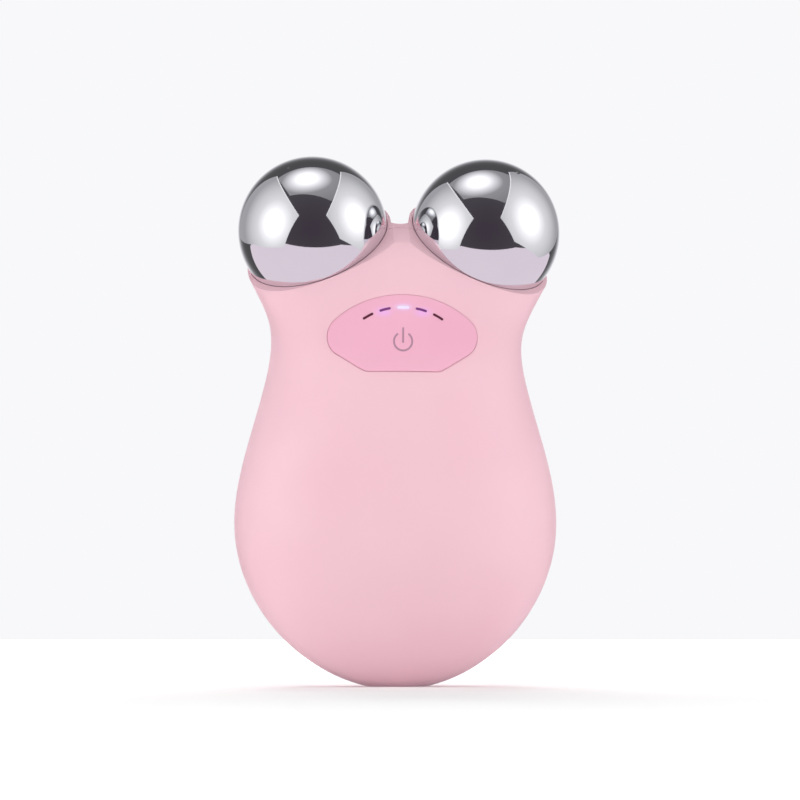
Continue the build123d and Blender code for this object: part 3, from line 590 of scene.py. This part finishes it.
# ---- studio ----------------------------------------------------------------
WALL = tone(248, 248, 250)
WORLD_LIGHT = 0.44
FLOOR_REACH = 40.0
FLOOR_GLOW = 0.12           # round the object, where the lamps add the rest
FLOOR_FAR_GLOW = 1.0
FLOOR_TONE = (0.9, 0.9, 0.9)
LAMPLIGHT = (0.12, 0.7)     # how far out the lamplight starts to fade, and has faded
# Of each lamp, its place, its width and height, and its watts.
LAMPS = {
    "left_softbox_lamp": ((-0.85, -0.4, 0.12), (0.6, 0.8), 4.1),
    "right_softbox_lamp": ((0.85, -0.4, 0.12), (0.6, 0.8), 3.6),
    "overhead_lamp": ((0.0, -0.3, 0.9), (0.8, 0.7), 1.7),
    "back_lamp": ((0.0, 0.6, 0.65), (0.6, 0.4), 4.3),
    "low_front_lamp": ((0.0, -1.1, 0.04), (1.2, 0.3), 2.9),
}


def staged(name, corners, faces):
    """A stage object made of flat faces."""
    data = bpy.data.meshes.new(name)
    data.from_pydata([tuple(c) for c in corners], [], faces)
    data.update()
    thing = bpy.data.objects.new(name, data)
    bpy.context.scene.collection.objects.link(thing)
    return thing


def add_floor():
    """Seen directly it is white but for the object's shadow; else it only returns the light."""
    r = FLOOR_REACH
    floor = staged("floor", [(-r, -r, 0), (r, -r, 0), (r, r, 0), (-r, r, 0)], [(0, 1, 2, 3)])
    finish = Finish("pale_floor", Roughness=0.9, Base_Color=FLOOR_TONE, Specular_IOR_Level=0.0)
    shown = finish.seen_directly()
    far = finish.node("ShaderNodeVectorMath", {0: finish.place()}, output="Value",
                      operation="LENGTH").ramp(*LAMPLIGHT)
    strength = far * (FLOOR_FAR_GLOW - FLOOR_GLOW) + FLOOR_GLOW
    glow = finish.node("ShaderNodeEmission", {"Color": WHITE, "Strength": strength})
    shade = finish.node("ShaderNodeBsdfDiffuse", {"Color": FLOOR_TONE})
    both = finish.node("ShaderNodeAddShader", {0: glow, 1: shade})
    usual = Value(finish, finish.shader.outputs[0])
    finish.show(finish.node("ShaderNodeMixShader", {0: shown, 1: usual, 2: both}))
    floor.data.materials.append(finish.material)
    floor.visible_glossy = False


def add_world():
    """A pale wall where it is seen directly, and an even light from all round."""
    world = bpy.data.worlds.new("studio")
    world.use_nodes = True
    bpy.context.scene.world = world
    nodes = Nodes(world.node_tree, "ShaderNodeOutputWorld")
    light = nodes.node("ShaderNodeBackground", {"Color": WHITE, "Strength": WORLD_LIGHT})
    wall = nodes.node("ShaderNodeBackground", {"Color": WALL, "Strength": 1.0})
    nodes.show(nodes.node("ShaderNodeMixShader", {0: nodes.seen_directly(), 1: light, 2: wall}))


def add_lamp(name, place, size, power):
    data = bpy.data.lights.new(name, "AREA")
    data.shape = "RECTANGLE"
    data.size, data.size_y = size
    data.energy = power
    lamp = bpy.data.objects.new(name, data)
    bpy.context.scene.collection.objects.link(lamp)
    lamp.location = place
    aim = Vector((0, 0, MIDDLE_HEIGHT)) - Vector(place)
    lamp.rotation_euler = aim.to_track_quat("-Z", "Y").to_euler()
    lamp.visible_glossy = False
    lamp.visible_camera = False


def add_lamps():
    for name, (place, size, power) in LAMPS.items():
        add_lamp(name, place, size, power)


# ---- what the plating mirrors ----------------------------------------------
# A dark room with a soft box at each side, one overhead, and a pale table. Each outline is a
# row of directions from the balls: to the right, up, and toward the camera.
ROOM_REACH = 18.0
ROOM_FACETING = 3           # halvings of an icosahedron's edges, plus one
TABLE_DROP = 2.0            # from the balls to the table
BOX_REACH = 1.5
HEM_REACH = 1.47            # a little in front of the boxes
ROOM_GLOW = 1.2             # makes up for what the plating swallows
BOX_GLOW = 1.7
# From straight behind the balls (0) to straight in front of them (1).
ROOM_TONES = [(0.0, tone(232, 232, 236)), (0.03, tone(202, 202, 206)),
              (0.065, tone(148, 148, 151)), (0.1, tone(106, 106, 108)),
              (0.14, tone(82, 82, 84)), (0.2, tone(74, 74, 76)), (0.6, tone(72, 72, 75)),
              (0.85, tone(68, 64, 70)), (1.0, tone(61, 54, 63))]
# From a box's lamp (0) to where its light has faded (1).
SIDE_TONES = [(0.0, tone(255, 255, 255)), (0.16, tone(240, 240, 240)),
              (0.3, tone(212, 212, 213)), (0.44, tone(186, 186, 188)),
              (0.64, tone(168, 168, 170)), (0.88, tone(134, 134, 137))]
TOP_TONES = [(0.0, tone(255, 255, 255)), (0.14, tone(232, 232, 233)),
             (0.27, tone(184, 184, 187)), (0.4, tone(122, 121, 124)),
             (0.7, tone(104, 104, 107))]
FADE = 1.2                  # how far from its lamp a box fades, between two unit directions
TABLE_TONE = tone(214, 202, 213)
LEFT_BOX = [(-.50, .76, -.40), (-.32, .32, .89), (-.655, -.42, .625), (-.957, -.19, -.22),
            (-.50, .04, -.865)]
LEFT_HOT = (-.86, .145, .488)
RIGHT_BOX = [(.33, .83, -.45), (.36, .33, .875), (.68, -.24, .69), (.906, -.377, -.192),
             (.417, .167, -.894)]
RIGHT_HOT = (.918, .264, .293)
TOP_BOX = [(-.68, 1, -.37), (.68, 1, -.37), (.68, 1, .93), (-.67, 1, .64)]
TOP_HOT = (-.126, .986, .116)
# The table's corners as x and y from the balls, in units of its drop.
TABLE = [(-1.5, -1.38), (1.5, -1.38), (6.5, 1.3), (14, 5), (12, 8), (.97, 1.93), (0, 1.2),
         (-.95, 1.42), (-12, 6.6), (-14, 5), (-6.5, 1.3)]
EDGE_WIDTH = 0.014          # of the bright hem of a side box, as a direction
EDGE_TONE = tone(205, 205, 207)


def toward(sight, reach):
    """The place that a direction from the balls leads to."""
    axes = bpy.context.scene.camera.matrix_world.to_3x3()
    return BALLS_MIDDLE + (axes @ Vector(sight)).normalized() * reach


def only_mirrored(thing, finish):
    """Seen in the plating and nowhere else."""
    thing.visible_camera = False
    thing.visible_diffuse = False
    thing.visible_transmission = False
    thing.visible_volume_scatter = False
    thing.visible_shadow = False
    thing.data.materials.append(finish.material)


def glowing(finish, colour, strength=ROOM_GLOW):
    finish.show(finish.node("ShaderNodeEmission", {"Color": colour, "Strength": strength}))


def outward_from_balls(finish):
    """The direction from the balls to the point, of length 1."""
    from_balls = finish.node("ShaderNodeVectorMath", {0: finish.place(), 1: BALLS_MIDDLE},
                             operation="SUBTRACT")
    return finish.node("ShaderNodeVectorMath", {0: from_balls}, operation="NORMALIZE")


def add_box(name, outline, hot, tones):
    """A soft box, white at its lamp and grey away from it."""
    corners = [toward(sight, BOX_REACH) for sight in outline]
    heart = sum(corners, Vector()) / len(corners)
    count = len(corners)
    faces = [(0, i + 1, (i + 1) % count + 1) for i in range(count)]
    box = staged(name, [heart] + corners, faces)
    finish = Finish(name)
    away = finish.node("ShaderNodeVectorMath",
                       {0: outward_from_balls(finish), 1: toward(hot, 1.0) - BALLS_MIDDLE},
                       output="Value", operation="DISTANCE")
    glowing(finish, finish.node("ShaderNodeValToRGB", {0: away * (1 / FADE)}, stops=tones),
            BOX_GLOW)
    only_mirrored(box, finish)


def add_hem(name, first, last, side):
    """The bright hem along one edge of a side box; side is the way that its width goes."""
    shift = Vector((side * EDGE_WIDTH, 0, 0))
    row = [Vector(first), Vector(last), Vector(last) + shift, Vector(first) + shift]
    hem = staged(name, [toward(sight, HEM_REACH) for sight in row], [(0, 1, 2, 3)])
    finish = Finish(name)
    glowing(finish, EDGE_TONE, BOX_GLOW)
    only_mirrored(hem, finish)


def add_table():
    places = [BALLS_MIDDLE + Vector((x, y, -1)) * TABLE_DROP for x, y in TABLE]
    table = staged("mirrored_table", places, [tuple(range(len(places)))])
    finish = Finish("mirrored_table")
    glowing(finish, TABLE_TONE)
    only_mirrored(table, finish)


def add_room():
    mesh = bmesh.new()
    bmesh.ops.create_icosphere(mesh, subdivisions=ROOM_FACETING, radius=ROOM_REACH)
    corners = [v.co + BALLS_MIDDLE for v in mesh.verts]
    faces = [tuple(v.index for v in f.verts) for f in mesh.faces]
    mesh.free()
    room = staged("mirrored_room", corners, faces)
    finish = Finish("mirrored_room")
    near = finish.node("ShaderNodeVectorMath",
                       {0: outward_from_balls(finish), 1: toward((0, 0, 1), 1.0) - BALLS_MIDDLE},
                       output="Value", operation="DOT_PRODUCT")
    glowing(finish, finish.node("ShaderNodeValToRGB", {0: near * 0.5 + 0.5}, stops=ROOM_TONES))
    only_mirrored(room, finish)


def add_mirrored_studio():
    add_room()
    add_table()
    add_box("left_soft_box", LEFT_BOX, LEFT_HOT, SIDE_TONES)
    add_box("right_soft_box", RIGHT_BOX, RIGHT_HOT, SIDE_TONES)
    add_box("top_soft_box", TOP_BOX, TOP_HOT, TOP_TONES)
    add_hem("left_hem", LEFT_BOX[0], LEFT_BOX[1], -1)
    add_hem("right_hem", RIGHT_BOX[0], RIGHT_BOX[1], 1)


# ---- run -------------------------------------------------------------------
add_camera()
dress_everything()
add_power_mark()
add_beads()
add_floor()
add_world()
add_lamps()
add_mirrored_studio()
bpy.context.scene.view_settings.view_transform = "Standard"
